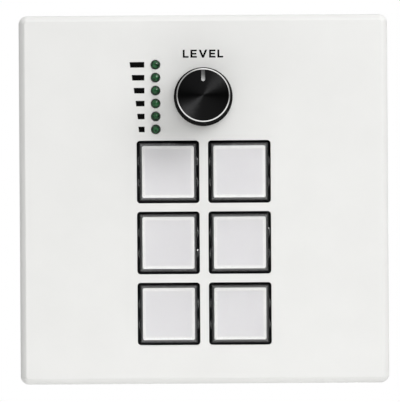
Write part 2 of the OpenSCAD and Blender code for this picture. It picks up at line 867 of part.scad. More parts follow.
// Rounded pip on the Z axis, whose front slopes back into the cap's side
module pip() {
    slope_back = face_z - pip_sink - pip_reach * tan(pip_tilt);
    rod(pip_r, slope_back - pip_d, slope_back);
    translate([0, 0, slope_back])
        cylinder(r1 = pip_r, r2 = pip_r - pip_slope_w, h = pip_slope_w * tan(pip_tilt));
}

// Clear cap with mitred bevels, and two pips on its left and right sides
module button_cap(i) color("#c9d0d4") upright() at_button(i) difference() {
    inner_w = cap_w - 2 * cap_wall;
    union() {
        intersection() {
            along_y(cap_w) cap_section();
            rotate([0, 0, 90]) along_y(cap_w) cap_section();
        }
        for (x = [-1, 1], y = [-1, 1])
            translate([x * (cap_w / 2 + pip_reach - pip_r), y * pip_pitch / 2, 0]) pip();
    }
    block(inner_w, inner_w, flange_top - past, cap_ceiling);
}

// White tray under the cap, with a raised rim
module button_label(i) color("#f4f4f6") upright() at_button(i) difference() {
    window = label_w - 2 * label_rim_w;
    block(label_w, label_w, label_back, label_front);
    block(window, window, label_front - label_rim_h, label_front + past);
}

// Hollow plunger that fills the cap: front, walls, flange and the stem that runs in the switch
module button_carrier(i) color("#1b1c1e") upright() at_button(i) difference() {
    hollow_w = label_w - 2 * carrier_t;
    hollow_front = label_back - carrier_t;
    union() {
        difference() {
            union() {
                block(label_w, label_w, flange_top - root, label_back);
                block(flange_w, flange_w, flange_back, flange_top);
            }
            block(hollow_w, hollow_w, flange_back - past, hollow_front);
        }
        block(stem_w, stem_w, stem_end, hollow_front + root);
    }
    rod(spring_r + spring_wire / 2 + spring_gap, stem_end - past, spring_top);
}

// Switch body with a square guide for the stem, closed at the board
module switch_body(i) color("#2a2b2e") upright() at_button(i) difference() {
    guide_w = stem_w + 2 * stem_gap;
    union() {
        block(switch_w, switch_w, board_front, switch_top);
        block(collar_w, collar_w, switch_top - root, switch_top + collar_h);
    }
    block(guide_w, guide_w, guide_floor, switch_top + collar_h + past);
}

// Points of a coil spring's wire: a ring of points at each step along the helix
function coil_points(r, wire, z0, z1, turns, steps, sides) = [
    for (k = [0:steps])
        let (
            turn = 360 * turns * k / steps,
            z = z0 + (z1 - z0) * k / steps
        )
        for (j = [0:sides - 1])
            let (a = 360 * j / sides, reach = r + wire / 2 * cos(a))
            [reach * cos(turn), reach * sin(turn), z + wire / 2 * sin(a)]
];

// Triangles of a tube made of rings: the wall, then a fan on each end
function coil_faces(steps, sides) = concat(
    [for (k = [0:steps - 1], j = [0:sides - 1])
        let (a = k * sides + j, b = k * sides + (j + 1) % sides) [a, a + sides, b]],
    [for (k = [0:steps - 1], j = [0:sides - 1])
        let (a = k * sides + j, b = k * sides + (j + 1) % sides) [b, a + sides, b + sides]],
    [for (j = [1:sides - 2]) [0, j, j + 1]],
    [for (j = [1:sides - 2]) [steps * sides, steps * sides + j + 1, steps * sides + j]]
);

// Return spring between the guide's floor and the pocket in the stem
module return_spring(i) color("#c4c7ca") upright() at_button(i) {
    steps = ceil(spring_turns * coil_rings);
    z0 = guide_floor + spring_wire / 2;
    z1 = spring_top - spring_wire / 2;
    polyhedron(
        coil_points(spring_r, spring_wire, z0, z1, spring_turns, steps, coil_sides),
        coil_faces(steps, coil_sides)
    );
}

front_plate();
wall_frame();
rear_housing();
frame_screws();
button_board();
main_board();
board_spacers();
board_screws();
link_header();
link_socket();
controller_chip();
terminal_socket(0);  // supply_socket
terminal_plug(0);  // supply_plug
terminal_socket(1);  // control_socket
terminal_plug(1);  // control_plug
terminal_screws();
knob();
knob_insert();
encoder_shaft();
encoder_bushing();
encoder_body();
lamp_holder();
for (i = lamp_ids)
    level_lamp(i);
for (i = button_ids) {
    button_cap(i);
    button_label(i);
    button_carrier(i);
    switch_body(i);
    return_spring(i);
}
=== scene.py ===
# %% [markdown]
# # A wall keypad, dressed for its portrait
# The construction is already settled: plate, buttons, knob, lamps, boards and housing arrive as a packed
# frame in metres, with X to the right, Z up and the front facing -Y. This lesson gives every surface its
# finish, turns a finer knob over the plain one, prints the marks, and sets up the studio. Nothing from the
# frame is moved or resized, so whatever is added here takes its place from the frame.

# %% Load the frame
import json
import math

import bmesh
import bpy
import numpy as np
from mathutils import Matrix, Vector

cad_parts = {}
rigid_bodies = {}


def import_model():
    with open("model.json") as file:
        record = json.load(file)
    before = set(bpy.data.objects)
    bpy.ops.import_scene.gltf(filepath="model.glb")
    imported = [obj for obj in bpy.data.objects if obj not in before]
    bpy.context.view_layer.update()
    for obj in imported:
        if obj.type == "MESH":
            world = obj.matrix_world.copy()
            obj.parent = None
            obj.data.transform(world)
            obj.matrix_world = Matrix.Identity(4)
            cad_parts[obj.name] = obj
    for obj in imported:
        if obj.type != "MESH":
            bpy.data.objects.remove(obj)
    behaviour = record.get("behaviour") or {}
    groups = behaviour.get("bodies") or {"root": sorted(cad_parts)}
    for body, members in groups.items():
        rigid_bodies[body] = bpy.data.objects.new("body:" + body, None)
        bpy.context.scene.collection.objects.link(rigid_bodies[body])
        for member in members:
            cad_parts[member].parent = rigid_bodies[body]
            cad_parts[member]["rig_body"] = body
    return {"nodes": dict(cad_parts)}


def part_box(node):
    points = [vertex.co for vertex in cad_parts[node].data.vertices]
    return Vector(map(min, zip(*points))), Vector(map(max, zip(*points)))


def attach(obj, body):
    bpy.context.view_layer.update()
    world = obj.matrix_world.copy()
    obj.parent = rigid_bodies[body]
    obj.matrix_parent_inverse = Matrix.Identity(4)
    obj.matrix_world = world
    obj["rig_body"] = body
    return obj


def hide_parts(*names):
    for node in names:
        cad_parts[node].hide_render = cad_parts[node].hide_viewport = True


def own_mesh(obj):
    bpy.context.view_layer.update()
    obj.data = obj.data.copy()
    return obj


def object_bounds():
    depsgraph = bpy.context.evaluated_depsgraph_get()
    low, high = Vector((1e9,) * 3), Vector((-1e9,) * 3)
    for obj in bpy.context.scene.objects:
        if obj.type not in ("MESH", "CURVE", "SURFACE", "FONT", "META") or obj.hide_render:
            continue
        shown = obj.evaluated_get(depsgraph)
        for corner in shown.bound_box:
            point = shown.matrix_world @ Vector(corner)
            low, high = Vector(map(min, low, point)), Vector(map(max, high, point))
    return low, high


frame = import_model()
nodes = frame["nodes"]
scene = bpy.context.scene
cad_low, cad_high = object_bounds()
MM = 0.001
print(len(nodes), "nodes,", [round((b - a) / MM, 1) for a, b in zip(cad_low, cad_high)], "mm in all")

# %% [markdown]
# ## The camera
# The picture was taken square on, from far enough away that the knob's front, 12 mm nearer than the plate,
# is hardly larger than its base. How far that front creeps off its base gives the distance, and the width
# of the plate in the picture gives the lens. Aiming with a tilted camera would spoil the square outline, so
# the camera slides a little instead, and rolls by the third of a degree that the plate leans.

# %% Set the camera
IMAGE_W, IMAGE_H = 400, 402
PIXELS_PER_MM = 4.284
PLATE_CENTRE_PX = (203.9, 199.4)
OUTLINE_Y = -7 * MM
CAMERA_AWAY = 790 * MM
LEAN = math.radians(0.37)


def photo_offset(pixel):
    """How far a pixel lies from the picture's middle, in metres on the plate, to the right and up."""
    across = (pixel[0] - IMAGE_W / 2) / PIXELS_PER_MM * MM
    up = (IMAGE_H / 2 - pixel[1]) / PIXELS_PER_MM * MM
    return across, up


camera = bpy.data.objects.new("portrait_camera", bpy.data.cameras.new("portrait_camera"))
scene.collection.objects.link(camera)
scene.camera = camera
plate_right, plate_up = photo_offset(PLATE_CENTRE_PX)
camera.location = (-plate_right, -CAMERA_AWAY, -plate_up)
camera.rotation_euler = (math.pi / 2, LEAN, 0)
frame_height = IMAGE_H / PIXELS_PER_MM * MM
camera.data.lens = camera.data.sensor_width * (CAMERA_AWAY + OUTLINE_Y) / frame_height
print("lens", round(camera.data.lens), "mm")

# %% [markdown]
# ## The studio
# A white keypad on white needs light that comes more from one side than the other, or its edges vanish.
# Here a large box of light stands to the right and above, a small one hangs overhead, a weak one behind the
# camera softens the shadows, a white card on the floor throws light up, and the room adds an even fill. The
# large box has a hot core for gloss and clear plastic alone, which makes the glints. The background is white
# for the eye, for reflections and for what shows through clear plastic, and the light stays plain.

# %% Light the room
AMBIENT = 0.37
WHITE = (1, 1, 1, 1)
scene.view_settings.view_transform = "Standard"


def arithmetic(tree, operation, *values):
    """Result of a sum on one or two sockets."""
    made = tree.nodes.new("ShaderNodeMath")
    made.operation = operation
    for value, socket in zip(values, made.inputs):
        tree.links.new(value, socket)
    return made.outputs[0]


def blend(tree, share, first, second):
    """Mix of two shaders: the first where share is 0, and the second where it is 1."""
    made = tree.nodes.new("ShaderNodeMixShader")
    for value, socket in zip((share, first, second), made.inputs):
        tree.links.new(value, socket)
    return made.outputs[0]


def white_for_the_eye(tree):
    """Socket that is 1 for rays from the camera, from gloss and through clear pieces, and 0 for the rest."""
    path = tree.nodes.new("ShaderNodeLightPath")
    eye = arithmetic(tree, "MAXIMUM", path.outputs["Is Camera Ray"], path.outputs["Is Glossy Ray"])
    return arithmetic(tree, "MAXIMUM", eye, path.outputs["Is Transmission Ray"])


world = bpy.data.worlds.new("white_studio")
scene.world = world
world.use_nodes = True
room = world.node_tree
fill = room.nodes["Background"]
fill.inputs["Strength"].default_value = AMBIENT
fill.inputs["Color"].default_value = WHITE
backdrop = room.nodes.new("ShaderNodeBackground")
backdrop.inputs["Color"].default_value = WHITE
air = blend(room, white_for_the_eye(room), fill.outputs[0], backdrop.outputs[0])
room.links.new(air, room.nodes["World Output"].inputs["Surface"])
print("the room fills with", AMBIENT)

# %% [markdown]
# Area lamps stand for the boxes and the card. Each is placed by two angles as seen from the plate, so it
# always faces the object, and can be moved round it without working out where it stands. Three of them are
# hidden from gloss, since the knob's bright ring would show every lamp as a square.

# %% Set up the lamps


def softbox(name, azimuth, elevation, away, size, watts, mirrored=True):
    """Square lamp aimed at the plate, from degrees to the right of the camera and degrees above it."""
    turn, rise = math.radians(azimuth), math.radians(elevation)
    data = bpy.data.lights.new(name, "AREA")
    data.shape = "SQUARE"
    data.size = size
    data.energy = watts
    lamp = bpy.data.objects.new(name, data)
    lamp.location = (
        away * math.cos(rise) * math.sin(turn),
        -away * math.cos(rise) * math.cos(turn),
        away * math.sin(rise),
    )
    lamp.rotation_euler = (math.pi / 2 - rise, 0, turn)
    lamp.visible_camera = False
    lamp.visible_transmission = False
    lamp.visible_glossy = mirrored
    scene.collection.objects.link(lamp)
    return lamp


lamps = [
    softbox("key_box", azimuth=41, elevation=31, away=1.2, size=1.0, watts=6.9),
    softbox("overhead_box", azimuth=0, elevation=80, away=1.0, size=0.5, watts=2.15, mirrored=False),
    softbox("front_fill", azimuth=0, elevation=8, away=1.5, size=0.3, watts=3.9, mirrored=False),
    softbox("floor_card", azimuth=0, elevation=-70, away=0.155, size=0.1, watts=0.0226, mirrored=False),
]
key_core = softbox("key_core", azimuth=36, elevation=33, away=1.2, size=0.5, watts=17)
key_core.visible_diffuse = False
lamps.append(key_core)
print("lamps", [lamp.name for lamp in lamps])

# %% [markdown]
# A pale floor lies well below the keypad, which hangs on a wall in use. It is round, and fades into the
# white of the room at its rim, so that no horizon cuts through the picture. From below it is clear, so the
# underside can be looked at too.

# %% Lay the floor
FLOOR_R = 0.7
FLOOR_DROP = 0.12
FLOOR_RINGS, FLOOR_STEPS = 12, 64
POLE = 1e-5


def grid_quads(rows, columns, close=False):
    """Quads of a grid of points numbered row by row; close joins the last column to the first."""
    index = np.arange(rows * columns).reshape(rows, columns)
    if close:
        index = np.concatenate([index, index[:, :1]], axis=1)
    corners = [index[:-1, :-1], index[:-1, 1:], index[1:, 1:], index[1:, :-1]]
    return np.stack(corners, axis=-1).reshape(-1, 4)


def add_mesh(name, points, faces):
    """New object at the origin from an array of points and an array or list of faces."""
    mesh = bpy.data.meshes.new(name)
    corners = [list(map(int, face)) for face in faces]
    mesh.from_pydata(np.asarray(points).reshape(-1, 3).tolist(), [], corners)
    piece = bpy.data.objects.new(name, mesh)
    scene.collection.objects.link(piece)
    return piece


def disc_points(radius, height, rings, steps):
    """Flat disc facing up: radius times the cosine and sine of the angle, on a grid of rings by steps."""
    reach = np.linspace(POLE, 1, rings)[:, None] * radius
    angle = np.linspace(2 * np.pi, 0, steps, endpoint=False)
    flat = np.full((rings, steps), height)
    return np.stack([reach * np.cos(angle), reach * np.sin(angle), flat], axis=-1)


floor_points = disc_points(FLOOR_R, cad_low.z - FLOOR_DROP, FLOOR_RINGS, FLOOR_STEPS)
floor = add_mesh("studio_floor", floor_points, grid_quads(FLOOR_RINGS, FLOOR_STEPS, close=True))
floor.visible_glossy = False
print("floor", round(floor_points[..., 2].max(), 3), "m")

# %% [markdown]
# The floor's paint is plain and pale near the keypad, where a shadow may fall. Towards the rim a white glow
# takes over, but only for what the eye sees, so the floor throws up no more light than paint would.

# %% Paint the floor
FLOOR_TONE = (0.86, 0.86, 0.85, 1)
FLOOR_ROUGH = 0.9
FLOOR_FADE = (0.15 * FLOOR_R, 0.95 * FLOOR_R)


def ramp(tree, value, first, last, low=0.0, high=1.0, soft=False):
    """Runs a value from low at first to high at last and no further; soft rounds both ends of the way."""
    made = tree.nodes.new("ShaderNodeMapRange")
    for socket, number in zip(("From Min", "From Max", "To Min", "To Max"), (first, last, low, high)):
        made.inputs[socket].default_value = number
    if soft:
        made.interpolation_type = "SMOOTHSTEP"
    tree.links.new(value, made.inputs["Value"])
    return made.outputs["Result"]


def floor_paint():
    """Pale diffuse floor that turns into plain white towards its rim, and is clear from below."""
    made = bpy.data.materials.new("floor_paint")
    made.use_nodes = True
    tree = made.node_tree
    paint = tree.nodes["Principled BSDF"]
    paint.inputs["Base Color"].default_value = FLOOR_TONE
    paint.inputs["Roughness"].default_value = FLOOR_ROUGH
    white = tree.nodes.new("ShaderNodeEmission")
    clear = tree.nodes.new("ShaderNodeBsdfTransparent")
    place = tree.nodes.new("ShaderNodeTexCoord")
    side = tree.nodes.new("ShaderNodeNewGeometry")
    reach = tree.nodes.new("ShaderNodeVectorMath")
    reach.operation = "LENGTH"
    tree.links.new(place.outputs["Object"], reach.inputs[0])
    rim = ramp(tree, reach.outputs["Value"], *FLOOR_FADE)
    seen = arithmetic(tree, "MULTIPLY", rim, white_for_the_eye(tree))
    upper = blend(tree, seen, paint.outputs[0], white.outputs[0])
    one_way = blend(tree, side.outputs["Backfacing"], upper, clear.outputs[0])
    tree.links.new(one_way, tree.nodes["Material Output"].inputs["Surface"])
    return made


floor.data.materials.append(floor_paint())
print("floor paint", floor.data.materials[0].name)

# %% [markdown]
# White from everywhere would leave the black knob grey. In a real studio the camera looks out of a dim room,
# so gloss meets a dome in front with a dark stripe at the height of the lens. Round the object runs a collar
# that is bright in most places and grey at both sides, where the studio's walls are: that is what the knob's
# bright ring mirrors. The shape is a part of a sphere, which has no corners that a mirror could show.

# %% Shape the room for gloss
ROOM_R = 2.0
ROOM_ANGLE = math.radians(108)
ROOM_ROWS, ROOM_STEPS = 32, 64


def room_points():
    """Part of a sphere: an angle from the view axis by an angle round it, times the room's radius."""
    away = np.linspace(POLE, ROOM_ANGLE, ROOM_ROWS)[:, None]
    around = np.linspace(0, 2 * np.pi, ROOM_STEPS, endpoint=False)
    across, up = np.sin(away) * np.sin(around), np.sin(away) * np.cos(around)
    return ROOM_R * np.stack([across, np.broadcast_to(-np.cos(away), across.shape), up], axis=-1)


gloss_room = add_mesh("gloss_room", room_points(), grid_quads(ROOM_ROWS, ROOM_STEPS, close=True))
for ray in ("camera", "diffuse", "shadow", "volume_scatter"):
    setattr(gloss_room, "visible_" + ray, False)
print("gloss sees a room of", ROOM_R, "m")

# %% [markdown]
# The room glows by itself, so its paint is all emission. Stripe and collar follow from the place of a point:
# its height gives the stripe, its depth the edge of the collar, and its angle round the view axis the greys
# of the collar. Through clear plastic the room is an even white, the light that the caps pass to the labels.

# %% Paint the room
STRIPE_LEAN = math.radians(6)
STRIPE_HALF, STRIPE_FADE = 0.1 * ROOM_R, 0.24 * ROOM_R
COLLAR_FROM, COLLAR_FULL = 0.34 * ROOM_R, 0.21 * ROOM_R
COLLAR_CLOCK = [0, 60, 90, 115, 245, 270, 330, 360]
COLLAR_GREY = [1.0, 0.7, 0.26, 0.85, 0.8, 0.25, 0.38, 1.0]
COLLAR_GLOW = 1.3
UNDER_CAPS = 1.93
FULL_TURN = 360


def object_axes(tree):
    """Sockets with the X, Y and Z of a point on its piece."""
    place = tree.nodes.new("ShaderNodeTexCoord")
    axes = tree.nodes.new("ShaderNodeSeparateXYZ")
    tree.links.new(place.outputs["Object"], axes.inputs[0])
    return axes.outputs


def dome_glow(tree):
    """Glow of the dome: white above and below a dark stripe that leans a little."""
    place = tree.nodes.new("ShaderNodeTexCoord")
    lean = tree.nodes.new("ShaderNodeMapping")
    lean.inputs["Rotation"].default_value = (0, STRIPE_LEAN, 0)
    axes = tree.nodes.new("ShaderNodeSeparateXYZ")
    tree.links.new(place.outputs["Object"], lean.inputs["Vector"])
    tree.links.new(lean.outputs["Vector"], axes.inputs[0])
    height = arithmetic(tree, "ABSOLUTE", axes.outputs["Z"])
    return ramp(tree, height, STRIPE_HALF, STRIPE_FADE, soft=True)


def collar_glow(tree, axes):
    """Colour of the collar: a ramp round the clock, from the top and to the right."""
    clock = arithmetic(tree, "ARCTAN2", axes["X"], axes["Z"])
    share = tree.nodes.new("ShaderNodeMapRange")
    share.inputs["From Max"].default_value = 2 * math.pi
    share.clamp = False
    whole = tree.nodes.new("ShaderNodeMath")
    whole.operation = "FLOORED_MODULO"
    whole.inputs[1].default_value = 1
    greys = tree.nodes.new("ShaderNodeValToRGB")
    stops = greys.color_ramp.elements
    while len(stops) < len(COLLAR_CLOCK):
        stops.new(0.5)
    for stop, clock_angle, grey in zip(stops, COLLAR_CLOCK, COLLAR_GREY):
        stop.position = clock_angle / FULL_TURN
        stop.color = (grey, grey, grey, 1)
    tree.links.new(clock, share.inputs["Value"])
    tree.links.new(share.outputs["Result"], whole.inputs[0])
    tree.links.new(whole.outputs[0], greys.inputs["Fac"])
    return greys.outputs["Color"]


def room_paint():
    """Glowing paint of the room: dome in front, collar round the object, and plain light for labels."""
    made = bpy.data.materials.new("room_paint")
    made.use_nodes = True
    made.cycles.emission_sampling = "NONE"
    tree = made.node_tree
    axes = object_axes(tree)
    dome, collar, plain = (tree.nodes.new("ShaderNodeEmission") for _ in range(3))
    tree.links.new(dome_glow(tree), dome.inputs["Strength"])
    collar.inputs["Strength"].default_value = COLLAR_GLOW
    tree.links.new(collar_glow(tree, axes), collar.inputs["Color"])
    plain.inputs["Strength"].default_value = UNDER_CAPS
    aside = ramp(tree, axes["Y"], -COLLAR_FROM, -COLLAR_FULL, soft=True)
    mirrored = blend(tree, aside, dome.outputs[0], collar.outputs[0])
    path = tree.nodes.new("ShaderNodeLightPath")
    glow = blend(tree, path.outputs["Is Transmission Ray"], mirrored, plain.outputs[0])
    tree.links.new(glow, tree.nodes["Material Output"].inputs["Surface"])
    return made


gloss_room.data.materials.append(room_paint())
print("room paint with", len(COLLAR_CLOCK), "greys round the clock")

# %% [markdown]
# ## Finishes
# Each finish starts from one shader, and its variation comes from noise on the object's own coordinates, so
# it stays put when a piece moves. Scales are in features per metre: 4000 gives a grain of a quarter of a
# millimetre, which is what a spark-eroded mould leaves on plastic.

# %% Helpers for the finishes
NOISE_ENDS = (0.3, 0.7)


def new_finish(name, **sockets):
    """Material with one Principled shader; sockets gives its plain values by name, with _ for a space."""
    made = bpy.data.materials.new(name)
    made.use_nodes = True
    shader = made.node_tree.nodes["Principled BSDF"]
    for socket, value in sockets.items():
        shader.inputs[socket.replace("_", " ")].default_value = value
    return made, made.node_tree, shader


def grain(tree, scale, detail=2.0, stretch=(1, 1, 1)):
    """Noise from 0 to 1 on object coordinates, in features per metre, drawn out along an axis by stretch."""
    place = tree.nodes.new("ShaderNodeTexCoord")
    turn = tree.nodes.new("ShaderNodeMapping")
    turn.inputs["Scale"].default_value = stretch
    noise = tree.nodes.new("ShaderNodeTexNoise")
    noise.inputs["Scale"].default_value = scale
    noise.inputs["Detail"].default_value = detail
    tree.links.new(place.outputs["Object"], turn.inputs["Vector"])
    tree.links.new(turn.outputs["Vector"], noise.inputs["Vector"])
    return noise.outputs["Fac"]


def spread(tree, value, low, high, target):
    """Links a noise to a socket, so that its middle range runs from low to high."""
    tree.links.new(ramp(tree, value, *NOISE_ENDS, low, high), target)


def two_tone(tree, value, first, second, target, ends=NOISE_ENDS):
    """Links a colour to a socket: first up to one end of a value's range, and second from the other on."""
    tones = tree.nodes.new("ShaderNodeValToRGB")
    for stop, place, colour in zip(tones.color_ramp.elements, ends, (first, second)):
        stop.position = place
        stop.color = (*colour, 1)
    tree.links.new(value, tones.inputs["Fac"])
    tree.links.new(tones.outputs["Color"], target)


def relief(tree, value, depth, shader):
    """Bump of a given depth in metres from a value between 0 and 1."""
    bump = tree.nodes.new("ShaderNodeBump")
    bump.inputs["Strength"].default_value = 1
    bump.inputs["Distance"].default_value = depth
    tree.links.new(value, bump.inputs["Height"])
    tree.links.new(bump.outputs["Normal"], shader.inputs["Normal"])


print("finish helpers ready, noise from", *NOISE_ENDS)

# %% [markdown]
# Most pieces are either moulded or bare metal, so these two get a recipe each. Moulded plastic is never one
# flat tone: it has soft clouds and a fine even grain. Metal shows lines along the way it was rolled or
# turned.

# %% Recipes for plastic and metal
CLOUDS, GLOSS_PATCHES, GLOSS_WAVER = 90, 700, 0.04
DRAWN_TONES, DRAWN_LINES, DRAWN_DETAIL, DRAWN_WAVER = 400, 900, 4, 0.08


def moulded(name, first, second, rough, grain_scale, grain_depth, **sockets):
    """Moulded plastic: two close tones in soft clouds, an even grain, and a gloss that wavers a little."""
    made, tree, shader = new_finish(name, **sockets)
    two_tone(tree, grain(tree, CLOUDS), first, second, shader.inputs["Base Color"])
    gloss = shader.inputs["Roughness"]
    spread(tree, grain(tree, GLOSS_PATCHES), rough - GLOSS_WAVER, rough + GLOSS_WAVER, gloss)
    relief(tree, grain(tree, grain_scale), grain_depth, shader)
    return made


def bright_metal(name, first, second, rough, stretch, **sockets):
    """Bare metal: two tones drawn out along the rolling or turning, and fine lines in its gloss."""
    made, tree, shader = new_finish(name, Metallic=1.0, **sockets)
    tones = grain(tree, DRAWN_TONES, DRAWN_DETAIL, stretch)
    lines = grain(tree, DRAWN_LINES, DRAWN_DETAIL, stretch)
    two_tone(tree, tones, first, second, shader.inputs["Base Color"])
    spread(tree, lines, rough - DRAWN_WAVER, rough + DRAWN_WAVER, shader.inputs["Roughness"])
    return made


print("recipes", moulded.__name__, bright_metal.__name__)

# %% [markdown]
# The plate is satin white plastic, and what lies in the gaps is black. The housing behind is black too, with
# the coarser grain of a part that nobody sees. Ink is matt: a printed mark has next to no gloss.

# %% Plastic finishes
satin_plate = moulded(
    "satin_plate",
    (0.83, 0.83, 0.815),
    (0.85, 0.85, 0.835),
    rough=0.5,
    grain_scale=3500,
    grain_depth=4e-6,
    Specular_IOR_Level=0.25,
)
carrier_black = moulded(
    "gap_black",
    (0.006, 0.006, 0.007),
    (0.010, 0.010, 0.011),
    rough=0.45,
    grain_scale=3000,
    grain_depth=3e-6,
    Specular_IOR_Level=0.1,
)
flat_ink = moulded(
    "flat_ink",
    (0.003, 0.003, 0.003),
    (0.005, 0.005, 0.005),
    rough=0.7,
    grain_scale=6000,
    grain_depth=2e-6,
    Specular_IOR_Level=0.0,
)
grained_housing = moulded(
    "grained_housing",
    (0.022, 0.022, 0.024),
    (0.032, 0.032, 0.034),
    rough=0.65,
    grain_scale=1800,
    grain_depth=1.2e-5,
    Specular_IOR_Level=0.15,
)
terminal_nylon = moulded(
    "terminal_nylon",
    (0.03, 0.22, 0.075),
    (0.04, 0.27, 0.095),
    rough=0.38,
    grain_scale=2400,
    grain_depth=4e-6,
)
insert_nylon = moulded(
    "insert_nylon",
    (0.55, 0.53, 0.47),
    (0.6, 0.58, 0.52),
    rough=0.5,
    grain_scale=2400,
    grain_depth=4e-6,
)
plastics = [satin_plate, carrier_black, flat_ink, grained_housing, terminal_nylon, insert_nylon]
print("plastics", [finish.name for finish in plastics])

# %% [markdown]
# A label is a white tray with a raised rim, and the sheet in it is a colder, slightly darker white. The two
# differ only in depth, so the depth picks the colour: the rim is bright, and what lies behind it is not.

# %% Label finish
LABEL_RIM_H = 0.1 * MM
RIM_ENDS = (0.3 * LABEL_RIM_H, 0.7 * LABEL_RIM_H)
RIM_WHITE, SHEET_WHITE = (0.735, 0.735, 0.722), (0.65, 0.643, 0.656)
CARD_GRAIN, CARD_DEPTH = 2500, 1e-6
label_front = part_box("button_label_1")[0].y


def label_card():
    """White rim and lilac-grey sheet, told apart by how deep the point lies in the tray."""
    made, tree, shader = new_finish("label_card", Roughness=0.6, Specular_IOR_Level=0.1)
    depth = ramp(tree, object_axes(tree)["Y"], label_front + RIM_ENDS[0], label_front + RIM_ENDS[1])
    two_tone(tree, depth, RIM_WHITE, SHEET_WHITE, shader.inputs["Base Color"], ends=(0, 1))
    relief(tree, grain(tree, CARD_GRAIN), CARD_DEPTH, shader)
    return made


label_finish = label_card()
print("label", label_finish.name)

# %% [markdown]
# Sheet steel is zinc plated and shows its rolling direction, screws and shafts are plain steel, and the
# spacers are turned brass.

# %% Metal finishes
zinc_sheet = bright_metal(
    "zinc_sheet", (0.52, 0.53, 0.54), (0.62, 0.63, 0.64), rough=0.38, stretch=(0.08, 1, 1)
)
screw_steel = bright_metal(
    "screw_steel", (0.55, 0.55, 0.56), (0.66, 0.66, 0.67), rough=0.3, stretch=(1, 0.2, 1)
)
turned_brass = bright_metal(
    "turned_brass", (0.62, 0.47, 0.2), (0.7, 0.55, 0.27), rough=0.3, stretch=(1, 0.2, 1)
)
print("metals", [finish.name for finish in (zinc_sheet, screw_steel, turned_brass)])

# %% [markdown]
# A board is green lacquer over copper: the tracks show as slightly lighter, raised bands. A brick pattern
# with wide rows stands in for them, since the boards only show through the narrow gaps.

# %% Board finish
TRACKS, TRACK_W, TRACK_DEPTH = 180, 0.035, 2e-5


def board_lacquer():
    """Green lacquer with faint raised tracks from a brick pattern laid on the board's own X and Z."""
    made, tree, shader = new_finish("board_lacquer", Roughness=0.3)
    place = tree.nodes.new("ShaderNodeTexCoord")
    turn = tree.nodes.new("ShaderNodeMapping")
    turn.inputs["Rotation"].default_value = (math.pi / 2, 0, 0)
    tracks = tree.nodes.new("ShaderNodeTexBrick")
    tracks.inputs["Scale"].default_value = TRACKS
    tracks.inputs["Mortar Size"].default_value = TRACK_W
    tracks.inputs["Color1"].default_value = (0.02, 0.13, 0.055, 1)
    tracks.inputs["Color2"].default_value = (0.024, 0.15, 0.06, 1)
    tracks.inputs["Mortar"].default_value = (0.04, 0.2, 0.08, 1)
    tree.links.new(place.outputs["Object"], turn.inputs["Vector"])
    tree.links.new(turn.outputs["Vector"], tracks.inputs["Vector"])
    tree.links.new(tracks.outputs["Color"], shader.inputs["Base Color"])
    relief(tree, tracks.outputs["Fac"], TRACK_DEPTH, shader)
    return made


lacquer = board_lacquer()
print("board", lacquer.name)

# %% [markdown]
# The caps are clear acrylic over white labels, polished in front. The bevel round them is left as the cutter
# made it, so it is a little hazy near the front: over the dark carrier that haze is the grey frame round
# each label. Deeper down the haze's colour is painted dark, as painted shade where it sinks into the black
# of the gap. The pips on a cap's sides are uneven, and glint here and there.

# %% Clear finishes
ACRYLIC_IOR = 1.49
HAZE_FROM, HAZE_TO = 0.25 * MM, 0.56 * MM
HAZE_PALE, HAZE_SHADE = 0.95, 0.03
CUT_GRAIN, MOULD_GRAIN = 900, 1900
cap_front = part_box("button_cap_1")[0].y
clear_cap, _, _ = new_finish("clear_cap", Transmission_Weight=1.0, Roughness=0.0, IOR=ACRYLIC_IOR)


def ground_acrylic(clearness, low, high):
    """Acrylic with a cut face; what is not clear in it scatters as a haze, whose colour is painted darker
    with depth as shade.
    """
    made, tree, shader = new_finish("ground_bevel", Transmission_Weight=clearness, IOR=ACRYLIC_IOR)
    spread(tree, grain(tree, CUT_GRAIN), low, high, shader.inputs["Roughness"])
    reach = (cap_front + HAZE_FROM, cap_front + HAZE_TO)
    # Deeper in the bevel the haze turns to painted shade, as it goes down into the gap.
    haze_and_shade = ramp(tree, object_axes(tree)["Y"], *reach, HAZE_PALE, HAZE_SHADE, soft=True)
    tree.links.new(haze_and_shade, shader.inputs["Base Color"])
    return made


def rough_pip(depth):
    """Acrylic as it leaves the mould: uneven by the given depth, so that it glints in a few places."""
    made, tree, shader = new_finish("rough_pip", Transmission_Weight=0.96, Roughness=0.2, IOR=ACRYLIC_IOR)
    relief(tree, grain(tree, MOULD_GRAIN), depth, shader)
    return made


ground_bevel = ground_acrylic(0.85, 0.13, 0.16)
pip_finish = rough_pip(0.18 * MM)
print("clear", [finish.name for finish in (clear_cap, ground_bevel, pip_finish)])

# %% [markdown]
# The lamps are moulded in green: cloudy inside and shiny outside, and painted shade darkens them to near
# black at the foot. A lens of real tinted glass would need light behind it to look green, so the cloud is
# given to the surface as two tones.

# %% Lamp finish
LENS_H = 0.9 * MM
LENS_SHADE_FADE = (0.12 * LENS_H, 0.8 * LENS_H)
LENS_GRAIN = 1700
LENS_DARK, LENS_PALE, LENS_FOOT_SHADE = (0.001, 0.01, 0.003), (0.033, 0.155, 0.057), (0.001, 0.007, 0.003, 1)
lens_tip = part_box("level_lamp_1")[0].y


